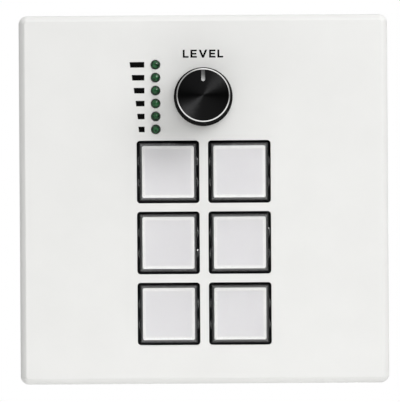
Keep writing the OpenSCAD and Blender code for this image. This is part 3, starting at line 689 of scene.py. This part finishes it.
def lamp_lens():
    """Green lens: cloudy in the middle of its dome, and painted with shade that turns it nearly black
    towards its foot.
    """
    made, tree, shader = new_finish("green_lens", Roughness=0.16, Specular_IOR_Level=0.22)
    # The near-black foot is painted shade, mixed in by how deep each point lies.
    depth = ramp(tree, object_axes(tree)["Y"], lens_tip + LENS_SHADE_FADE[0], lens_tip + LENS_SHADE_FADE[1])
    cloud_and_shade = tree.nodes.new("ShaderNodeMix")
    cloud_and_shade.data_type = "RGBA"
    cloud_and_shade.inputs["B"].default_value = LENS_FOOT_SHADE
    tree.links.new(depth, cloud_and_shade.inputs["Factor"])
    two_tone(tree, grain(tree, LENS_GRAIN), LENS_DARK, LENS_PALE, cloud_and_shade.inputs["A"])
    tree.links.new(cloud_and_shade.outputs["Result"], shader.inputs["Base Color"])
    return made


green_lens = lamp_lens()
print("lamp", green_lens.name)

# %% [markdown]
# ## Dressing the frame
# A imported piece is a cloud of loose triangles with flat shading. Where it is curved, a copy is welded and
# shaded smooth up to an angle that keeps the true creases sharp, and large flat faces are given the say over
# the normals beside them. Flat pieces need only their finish, which follows the slot that each came with.

# %% Dress the pieces
WELD = 1e-6
CREASE = math.radians(22)
FINISHES = {
    "plate_white": satin_plate,
    "frame_steel": zinc_sheet,
    "housing_black": grained_housing,
    "board_green": lacquer,
    "terminal_green": terminal_nylon,
    "plain_steel": screw_steel,
    "spacer_brass": turned_brass,
    "knob_black": flat_ink,
    "insert_plastic": insert_nylon,
    "lamp_green": green_lens,
    "cap_clear": clear_cap,
    "label_white": label_finish,
    "carrier_black": carrier_black,
}
slot_of = {name: node.material_slots[0].material.name for name, node in nodes.items()}


def place_piece(piece, body, slot, *stands_for):
    """Puts a finished piece on its body and hides the nodes it stands for; the slot is not used."""
    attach(piece, body)
    if stands_for:
        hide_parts(*stands_for)
    return piece


def smooth_copy(node):
    """Welded copy of a node, smooth up to the crease angle, standing for the node on its body."""
    mesh = nodes[node].data.copy()
    welded = bmesh.new()
    welded.from_mesh(mesh)
    bmesh.ops.remove_doubles(welded, verts=welded.verts, dist=WELD)
    welded.to_mesh(mesh)
    welded.free()
    if "custom_normal" in mesh.attributes:
        mesh.attributes.remove(mesh.attributes["custom_normal"])
    mesh.shade_smooth()
    mesh.set_sharp_from_angle(angle=CREASE)
    mesh.materials.clear()
    mesh.materials.append(FINISHES[slot_of[node]])
    piece = bpy.data.objects.new(node + "_smooth", mesh)
    scene.collection.objects.link(piece)
    even = piece.modifiers.new("flat faces lead", "WEIGHTED_NORMAL")
    even.keep_sharp = True
    return place_piece(piece, nodes[node]["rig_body"], slot_of[node], node)


for name, node in nodes.items():
    node.material_slots[0].material = FINISHES[slot_of[name]]
CURVED = ["front_plate", "wall_frame", "rear_housing", "frame_screws", "board_spacers", "board_screws"]
CURVED += ["supply_plug", "control_plug", "terminal_screws"]
CURVED += ["encoder_bushing", "encoder_shaft", "knob_insert"]
CURVED += [name for name in nodes if slot_of[name] in ("lamp_green", "cap_clear")]
smooth_pieces = {node: smooth_copy(node) for node in CURVED}
print(len(smooth_pieces), "smooth copies,", len(nodes) - len(smooth_pieces), "nodes dressed as they are")

# %% [markdown]
# A cap needs three finishes on one skin. Which face is which follows from its direction and place: a bevel
# looks forwards at a slant and lies inside the square of the cap, a pip lies outside that square, and all
# the rest is clear. Light from the lamps passes the caps without a shadow, as through real clear plastic.

# %% Finish the caps
CAP_W = 13.4 * MM
SLANT = (0.3, 0.98)


def face_values(mesh, name):
    """Array of one three-part value for each face, such as its normal or its centre."""
    values = np.zeros(3 * len(mesh.polygons))
    mesh.polygons.foreach_get(name, values)
    return values.reshape(-1, 3)


def finish_cap(piece, node):
    """Gives the bevels their ground finish and the pips their rough one, and leaves the rest clear."""
    mesh = piece.data
    low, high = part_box(node)
    forwards = -face_values(mesh, "normal")[:, 1]
    aside = np.abs(face_values(mesh, "center")[:, 0] - (low.x + high.x) / 2)
    bevel = (forwards > SLANT[0]) & (forwards < SLANT[1]) & (aside < CAP_W / 2)
    pip = aside > CAP_W / 2 + WELD
    mesh.materials.append(ground_bevel)
    mesh.materials.append(pip_finish)
    mesh.polygons.foreach_set("material_index", bevel + 2 * pip)
    piece.visible_shadow = False
    return int(bevel.sum()), int(pip.sum())


caps = [node for node in CURVED if slot_of[node] == "cap_clear"]
print("bevel and pip faces", [finish_cap(smooth_pieces[node], node) for node in caps])

# %% [markdown]
# ## The knob
# The knob is turned from aluminium and blackened, and then its front edge is cut once more with a diamond,
# which leaves a mirror-bright ring. The face is dished by a hair and keeps the fine circles of the tool, so
# it throws light out in two opposite fans. Round pieces come from a profile carried round an axis.

# %% Turn the knob's shell
KNOB_FRONT_R = 6.15 * MM
RING_W, RING_D = 0.26 * MM, 0.25 * MM
LINE_FROM_BACK, LINE_W, LINE_D = 1.3 * MM, 0.3 * MM, 0.2 * MM
FRONT_WALL = 2.4 * MM
POINTER_W, POINTER_LEN = 0.9 * MM, 2.7 * MM
ROUND_STEPS, MOUTH_STEPS = 192, 4
knob_low, knob_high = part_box("knob")
insert_low, insert_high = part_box("knob_insert")
KNOB_AXIS = ((knob_low.x + knob_high.x) / 2, (knob_low.z + knob_high.z) / 2)
KNOB_BASE_R = (knob_high.x - knob_low.x) / 2
BORE_R = (insert_high.x - insert_low.x) / 2
FACE_Y, BACK_Y = knob_low.y, knob_high.y
FACE_R = KNOB_FRONT_R - RING_W
HALF_W = POINTER_W / 2
rim_gap = math.asin(HALF_W / FACE_R)


def turned(profile, angles):
    """Turned surface: each profile point (radius, depth) goes round the axis, clockwise from the top."""
    radius, depth = np.asarray(profile).T
    across = KNOB_AXIS[0] + radius[:, None] * np.sin(angles)
    up = KNOB_AXIS[1] + radius[:, None] * np.cos(angles)
    return np.stack([across, np.broadcast_to(depth[:, None], across.shape), up], axis=-1)


def side_radius(depth):
    """Radius of the tapered side at a depth, straight from the base to the ring."""
    share = (BACK_Y - depth) / (BACK_Y - FACE_Y - RING_D)
    return KNOB_BASE_R + (KNOB_FRONT_R - KNOB_BASE_R) * share


line_back = BACK_Y - LINE_FROM_BACK
line_front = line_back - LINE_W
shell_profile = [
    (0, FACE_Y + FRONT_WALL),
    (BORE_R, FACE_Y + FRONT_WALL),
    (BORE_R, BACK_Y),
    (KNOB_BASE_R, BACK_Y),
    (side_radius(line_back), line_back),
    (side_radius(line_back) - LINE_D, line_back),
    (side_radius(line_front) - LINE_D, line_front),
    (side_radius(line_front), line_front),
    (KNOB_FRONT_R, FACE_Y + RING_D),
]
ring_profile = [(KNOB_FRONT_R, FACE_Y + RING_D), (FACE_R, FACE_Y)]
face_turns = np.linspace(rim_gap, 2 * np.pi - rim_gap, ROUND_STEPS + 1)
mouth_turns = np.linspace(2 * np.pi - rim_gap, 2 * np.pi + rim_gap, MOUTH_STEPS + 1)[1:-1]
rim_turns = np.concatenate([face_turns, mouth_turns])
shell_points, ring_points = turned(shell_profile, rim_turns), turned(ring_profile, rim_turns)
print("knob", round(2 * KNOB_BASE_R / MM, 2), "mm, mouth", round(2 * math.degrees(rim_gap), 1), "degrees")

# %% [markdown]
# The face is a second surface: radius by angle, where the angle stops at both sides of the pointer groove,
# so that the groove is a true pocket. Its walls start on the same points, and its floor rises towards the
# round inner end, as a ball cutter leaves it when it is lifted out: that end catches the light from above,
# and the groove's paint adds a painted highlight there.

# %% Cut the knob's face and groove
DISH = 0.18 * MM
FLOOR_TIP_D, FLOOR_RIM_D = 0.2 * MM, 0.55 * MM
TIP_R = FACE_R - POINTER_LEN
TIP_CENTRE = TIP_R + HALF_W
TIP_ROWS, PART_ROWS = 9, 12
tip_side_r = np.hypot(TIP_CENTRE, HALF_W)


def groove_half_angle(radius):
    """Half the angle that the groove takes at a radius: an arc's at its tip, a straight side's after."""
    safe = np.maximum(radius, TIP_R)
    tip = np.arccos(np.clip((safe**2 + TIP_CENTRE**2 - HALF_W**2) / (2 * safe * TIP_CENTRE), -1, 1))
    side = np.arcsin(np.clip(HALF_W / safe, -1, 1))
    return np.where(radius > TIP_R, np.where(safe < tip_side_r, tip, side), 0)


tip_rows = TIP_R + (tip_side_r - TIP_R) * (1 - np.cos(np.linspace(0, np.pi / 2, TIP_ROWS)))
inner_rows = np.linspace(0, TIP_R, PART_ROWS)[:-1]
outer_rows = np.linspace(tip_side_r, FACE_R, PART_ROWS)[1:]
face_rows = np.concatenate([inner_rows, tip_rows, outer_rows])
tip_row = len(inner_rows)
half_gap = groove_half_angle(face_rows)[:, None]
face_angles = half_gap + np.linspace(0, 1, ROUND_STEPS + 1) * (2 * np.pi - 2 * half_gap)


def knob_face():
    """Dished face: radius times sine and cosine of the angle; it rises with the radius squared."""
    radius = np.broadcast_to(face_rows[:, None], face_angles.shape)
    across = KNOB_AXIS[0] + radius * np.sin(face_angles)
    up = KNOB_AXIS[1] + radius * np.cos(face_angles)
    depth = FACE_Y + DISH * (1 - (radius / FACE_R) ** 2)
    return np.stack([across, depth, up], axis=-1)


def groove_floor(outline):
    """The outline sunk to the floor: the depth grows from tip to rim, fast at first and then no more."""
    radius = np.hypot(outline[:, 0] - KNOB_AXIS[0], outline[:, 2] - KNOB_AXIS[1])
    share = np.clip((radius - TIP_R) / POINTER_LEN, 0, 1)
    sunk = outline.copy()
    sunk[:, 1] = FACE_Y + FLOOR_TIP_D + (FLOOR_RIM_D - FLOOR_TIP_D) * (1 - (1 - share) ** 2)
    return sunk


face_points = knob_face()
mouth_points = turned([(FACE_R, FACE_Y)], mouth_turns)[0][::-1]
outline = np.concatenate([face_points[tip_row:, 0], mouth_points, face_points[tip_row + 1 :, -1][::-1]])
sunk = groove_floor(outline)
wall_points = np.stack([outline, sunk])
right = np.arange(len(face_rows) - tip_row)
left = np.concatenate([[0], len(outline) - right[1:]])
floor_quads = np.stack([right[:-1], left[:-1], left[1:], right[1:]], axis=-1)
floor_faces = [*floor_quads, np.arange(right[-1], left[-1] + 1)]
print("groove outline of", len(outline), "points")

# %% [markdown]
# Spun metal is smooth along the tool's circles and rough across them. The shader is told so by a direction:
# each patch has a map whose first coordinate runs along the profile, straight across the circles, and whose
# second is the angle. The side is only blackened, and stays matt.

# %% Knob finishes
TOOL_PULL, TOOL_RINGS, TOOL_DETAIL = (40, 0.5, 1), 4, 4
TOOL_SHADE, TOOL_WAVER = 0.8, 0.03
# The pale tone for the groove's inner end is a painted highlight, which fades towards the rim.
POINTER_HIGHLIGHT, PAINT_GREY, HIGHLIGHT_FADE = (0.5, 0.5, 0.5), (0.15, 0.15, 0.15), 0.6 * POINTER_LEN


def spun_metal(name, colour, rough, stretch):
    """Turned metal: gloss drawn out along the map's first direction, with faint rings of lighter tone."""
    made, tree, shader = new_finish(name, Metallic=1.0, Anisotropic=stretch)
    lay = tree.nodes.new("ShaderNodeTangent")
    lay.direction_type = "UV_MAP"
    lay.uv_map = "turning"
    tree.links.new(lay.outputs[0], shader.inputs["Tangent"])
    turning = tree.nodes.new("ShaderNodeUVMap")
    turning.uv_map = "turning"
    pull = tree.nodes.new("ShaderNodeMapping")
    pull.inputs["Scale"].default_value = TOOL_PULL
    noise = tree.nodes.new("ShaderNodeTexNoise")
    noise.inputs["Scale"].default_value = TOOL_RINGS
    noise.inputs["Detail"].default_value = TOOL_DETAIL
    tree.links.new(turning.outputs["UV"], pull.inputs["Vector"])
    tree.links.new(pull.outputs["Vector"], noise.inputs["Vector"])
    darker = tuple(TOOL_SHADE * part for part in colour)
    two_tone(tree, noise.outputs["Fac"], darker, colour, shader.inputs["Base Color"])
    gloss = shader.inputs["Roughness"]
    spread(tree, noise.outputs["Fac"], rough - TOOL_WAVER, rough + TOOL_WAVER, gloss)
    return made


def pointer_paint_with_highlight():
    """Silver paint in the groove, with a painted highlight at the shallow inner end that fades on the way to
    the rim.
    """
    made, tree, shader = new_finish("pointer_silver_painted_highlight", Roughness=0.45, Specular_IOR_Level=0.3)
    turning = tree.nodes.new("ShaderNodeUVMap")
    turning.uv_map = "turning"
    axes = tree.nodes.new("ShaderNodeSeparateXYZ")
    tree.links.new(turning.outputs["UV"], axes.inputs[0])
    highlight_share = ramp(tree, axes.outputs["X"], TIP_R / FACE_R, (TIP_R + HIGHLIGHT_FADE) / FACE_R)
    two_tone(tree, highlight_share, POINTER_HIGHLIGHT, PAINT_GREY, shader.inputs["Base Color"], ends=(0, 1))
    return made


black_side = moulded(
    "black_side",
    (0.012, 0.012, 0.012),
    (0.018, 0.018, 0.018),
    rough=0.6,
    grain_scale=5000,
    grain_depth=2e-6,
    Specular_IOR_Level=0.0,
)
knob_finishes = [
    black_side,
    spun_metal("diamond_cut", (0.86, 0.86, 0.85), rough=0.12, stretch=0.3),
    spun_metal("spun_black", (0.0148, 0.0148, 0.0151), rough=0.34, stretch=0.95),
    pointer_paint_with_highlight(),
]
SIDE, RING, FACE, GROOVE = range(4)
print("knob finishes", [finish.name for finish in knob_finishes])

# %% [markdown]
# Now the patches become one object. Their edges share the same points, so welding closes the whole knob into
# one skin, and its normals can then be turned outwards.

# %% Weld the knob


def weld(mesh):
    """Closes seams and poles, turns the faces outwards, and shades smooth up to the crease angle."""
    skin = bmesh.new()
    skin.from_mesh(mesh)
    bmesh.ops.remove_doubles(skin, verts=skin.verts, dist=WELD)
    bmesh.ops.recalc_face_normals(skin, faces=skin.faces)
    skin.to_mesh(mesh)
    skin.free()
    mesh.shade_smooth()
    mesh.set_sharp_from_angle(angle=CREASE)


def patchwork(name, patches, finishes):
    """One welded object from patches: each has points, faces, a map and the number of its finish."""
    points = [np.asarray(patch[0]).reshape(-1, 3) for patch in patches]
    first = np.cumsum([0] + [len(part) for part in points])
    faces = []
    for patch, start in zip(patches, first):
        faces += [[int(corner) + start for corner in face] for face in patch[1]]
    piece = add_mesh(name, np.concatenate(points), faces)
    mesh = piece.data
    corners = np.zeros(len(mesh.loops), int)
    mesh.loops.foreach_get("vertex_index", corners)
    maps = np.concatenate([np.asarray(patch[2]).reshape(-1, 2) for patch in patches])
    mesh.uv_layers.new(name="turning").data.foreach_set("uv", maps[corners].ravel())
    chosen = np.concatenate([np.full(len(patch[1]), patch[3]) for patch in patches])
    mesh.polygons.foreach_set("material_index", chosen)
    for finish in finishes:
        mesh.materials.append(finish)
    weld(mesh)
    return piece


def turning_map(points, angles):
    """Map of a turned grid: the way down its rows in radii of the face, and the angle in full turns."""
    steps = np.linalg.norm(np.diff(points[:, 0], axis=0), axis=-1)
    down = np.concatenate([[0], np.cumsum(steps)]) / FACE_R
    return np.stack(np.broadcast_arrays(down[:, None], angles / (2 * np.pi)), axis=-1)


def turned_patch(points, angles, finish, close=True):
    """Patch of a turned grid, closed round the axis or left open at the groove."""
    return points, grid_quads(*points.shape[:2], close=close), turning_map(points, angles), finish


def groove_map(points):
    """Map of the groove: the way from the knob's axis and the way aside, in radii of the face."""
    return np.stack([points[..., 2] - KNOB_AXIS[1], points[..., 0] - KNOB_AXIS[0]], axis=-1) / FACE_R


face_turn = face_angles / (2 * np.pi)
radius_and_turn = np.stack(np.broadcast_arrays(face_rows[:, None] / FACE_R, face_turn), axis=-1)
knob_patches = [
    turned_patch(shell_points, rim_turns, SIDE),
    turned_patch(ring_points, rim_turns, RING),
    (face_points, grid_quads(*face_points.shape[:2]), radius_and_turn, FACE),
    (wall_points, grid_quads(*wall_points.shape[:2], close=True), groove_map(wall_points), GROOVE),
    (sunk, floor_faces, groove_map(sunk), GROOVE),
]
knob = place_piece(patchwork("turned_knob", knob_patches, knob_finishes), "knob", "knob_black", "knob")
print("knob of", len(knob.data.polygons), "faces")

# %% [markdown]
# ## Printed marks
# Six bars beside the lamps grow towards the top, each with a slanted left end, and a plain word stands over
# the knob. An image could hold such marks, but it blurs when one comes close, so each mark is a flat outline
# in the plane of the plate, given the thickness of a coat of ink.

# %% Print the bars
INK_T = 0.02 * MM
BAR_RIGHT = -13.69 * MM
BAR_H = 1.28 * MM
BAR_LONGEST, BAR_SHORTEST = 3.34 * MM, 1.39 * MM
BAR_CURVE = 1.26
BAR_SLANT = 0.11
LAMPS = sorted(name for name in nodes if slot_of[name] == "lamp_green")
lamp_up = np.array([(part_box(name)[0].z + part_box(name)[1].z) / 2 for name in LAMPS])
PLATE_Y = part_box("front_plate")[0].y


def bar_outlines():
    """Six outlines with a square right end and a slanted left one; lengths grow as a power of the height."""
    share = (lamp_up - lamp_up.min()) / np.ptp(lamp_up)
    length = BAR_SHORTEST + (BAR_LONGEST - BAR_SHORTEST) * share**BAR_CURVE
    lean = BAR_SLANT * BAR_H / 2
    left_top, left_bottom = BAR_RIGHT - length - lean, BAR_RIGHT - length + lean
    top, bottom = lamp_up + BAR_H / 2, lamp_up - BAR_H / 2
    right_end = np.full_like(top, BAR_RIGHT)
    corners = [(left_top, top), (left_bottom, bottom), (right_end, bottom), (right_end, top)]
    return list(np.stack([np.stack(corner, axis=-1) for corner in corners], axis=1))


def print_ink(name, outlines):
    """Flat outlines of (across, up) points on the plate, thickened outwards to a coat of ink."""
    sizes = np.cumsum([0] + [len(shape) for shape in outlines])
    flat = np.concatenate(outlines)
    points = np.stack([flat[:, 0], np.full(len(flat), PLATE_Y), flat[:, 1]], axis=-1)
    piece = add_mesh(name, points, [range(a, b) for a, b in zip(sizes, sizes[1:])])
    coat = piece.modifiers.new("coat of ink", "SOLIDIFY")
    coat.thickness = INK_T
    coat.offset = 1
    piece.data.materials.append(flat_ink)
    return place_piece(piece, "panel", "carrier_black")


bars = print_ink("level_bars", bar_outlines())
print("bars", len(bars.data.polygons))

# %% [markdown]
# The letters are drawn on a square of 1 by 1, as a signwriter's stencil would be: a stem, arms of one
# weight, and a V whose inner notch follows from the stroke. Only straight strokes are needed for this word.

# %% Letter the word
WORD = "LEVEL"
LETTER_H = 1.85 * MM
WORD_W = 9.4 * MM
WORD_UP = 33.93 * MM
STROKE = 0.235
ARM = 0.205
SHORT_ARM = 0.92
V_STROKE = 1.1 * STROKE


def letter_l(width):
    """Stem with a foot."""
    return [(0, 0), (width, 0), (width, ARM), (STROKE, ARM), (STROKE, 1), (0, 1)]


def letter_e(width):
    """Stem with three arms, the middle one a little shorter."""
    low, high = 0.5 - ARM / 2, 0.5 + ARM / 2
    short = SHORT_ARM * width
    lower = [(0, 0), (width, 0), (width, ARM), (STROKE, ARM), (STROKE, low), (short, low)]
    upper = [(short, high), (STROKE, high), (STROKE, 1 - ARM), (width, 1 - ARM), (width, 1), (0, 1)]
    return lower + upper


def letter_v(width):
    """Two slanting strokes that meet in a blunt point."""
    half = width / 2
    blunt = STROKE / 2
    notch = 1 - (half - V_STROKE) / (half - blunt)
    foot = [(half - blunt, 0), (half + blunt, 0)]
    return foot + [(width, 1), (width - V_STROKE, 1), (half, notch), (V_STROKE, 1), (0, 1)]


LETTERS = {"L": (letter_l, 0.72), "E": (letter_e, 0.8), "V": (letter_v, 1.06)}


def word_outlines():
    """Letters side by side, spaced evenly so that the word has its full width, centred over the knob."""
    widths = np.array([LETTERS[letter][1] for letter in WORD]) * LETTER_H
    gap = (WORD_W - widths.sum()) / (len(WORD) - 1)
    starts = KNOB_AXIS[0] - WORD_W / 2 + np.concatenate([[0], np.cumsum(widths + gap)[:-1]])
    shapes = [np.array(LETTERS[letter][0](LETTERS[letter][1])) * LETTER_H for letter in WORD]
    return [shape + (start, WORD_UP - LETTER_H / 2) for shape, start in zip(shapes, starts)]


word = print_ink("level_word", word_outlines())
print("letters", len(word.data.polygons))

# %% [markdown]
# ## Return springs
# Under each button a small coil spring pushes the stem back. In the frame it is a plain coil of few sides
# that keeps its length. Here the wire is round, and its end turns lie flat as on a ground spring.

# %% Wind the springs
WIRE_R = 0.15 * MM
COIL_TURNS = 4
WIRE_SIDES, TURN_STEPS = 10, 36


def coil_points(node):
    """Wire round a helix: even angles, heights in an S curve, and a circle across the wire at each step."""
    low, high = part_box(node)
    axis = np.array([(low.x + high.x) / 2, 0, (low.z + high.z) / 2])
    share = np.linspace(0, 1, COIL_TURNS * TURN_STEPS + 1)[:, None]
    turn = 2 * np.pi * COIL_TURNS * share
    around = np.linspace(0, 2 * np.pi, WIRE_SIDES, endpoint=False)
    reach = (high.x - low.x) / 2 - WIRE_R + WIRE_R * np.cos(around)
    climb = share - np.sin(2 * np.pi * share) / (4 * np.pi)
    along = high.y - WIRE_R - climb * (high.y - low.y - 2 * WIRE_R) + WIRE_R * np.sin(around)
    return axis + np.stack([reach * np.cos(turn), along, reach * np.sin(turn)], axis=-1)


def wind_spring(number):
    """Closed tube of the coil, on the panel."""
    node = f"return_spring_{number}"
    points = coil_points(node)
    rows = len(points)
    ends = [list(range(WIRE_SIDES)), list(range((rows - 1) * WIRE_SIDES, rows * WIRE_SIDES))]
    piece = add_mesh(f"coil_{number}", points, [*grid_quads(rows, WIRE_SIDES, close=True), *ends])
    piece.data.materials.append(screw_steel)
    weld(piece.data)
    place_piece(piece, "panel", "plain_steel", node)
    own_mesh(piece)
    return piece


springs = [wind_spring(number) for number in range(1, len(caps) + 1)]
print(len(springs), "springs of", len(springs[0].data.polygons), "faces")
